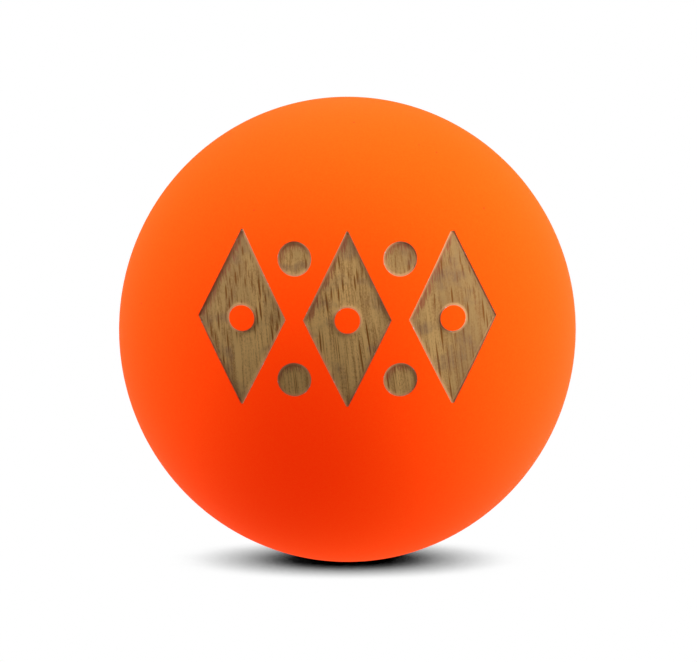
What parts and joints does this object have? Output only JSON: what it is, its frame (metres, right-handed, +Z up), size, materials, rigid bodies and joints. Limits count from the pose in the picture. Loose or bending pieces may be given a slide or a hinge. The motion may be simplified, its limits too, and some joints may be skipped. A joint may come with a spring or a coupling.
{
  "type": "petanque jack",
  "caption": "Small solid wooden ball thrown as the mark in petanque, matt fluorescent orange over a white undercoat, with a lozenge frieze engraved through the paint.",
  "frame": {"origin": "centre of the ball", "axes": "+Z up along the wood's grain, -Y out of the engraved front, +X to the right as the front is seen"},
  "size_m": [0.0298, 0.0297, 0.0304],
  "materials": {
    "wood": "bare pale hardwood, laser engraved, scorched along the edges",
    "undercoat": "matt white paint",
    "orange": "matt fluorescent orange paint"
  },
  "bodies": {
    "root": {"wood_ball": "wood", "undercoat": "undercoat", "undercoat_island_1": "undercoat", "undercoat_island_2": "undercoat", "undercoat_island_3": "undercoat", "orange_coat": "orange", "orange_coat_island_1": "orange", "orange_coat_island_2": "orange", "orange_coat_island_3": "orange"}
  },
  "joints": []
}
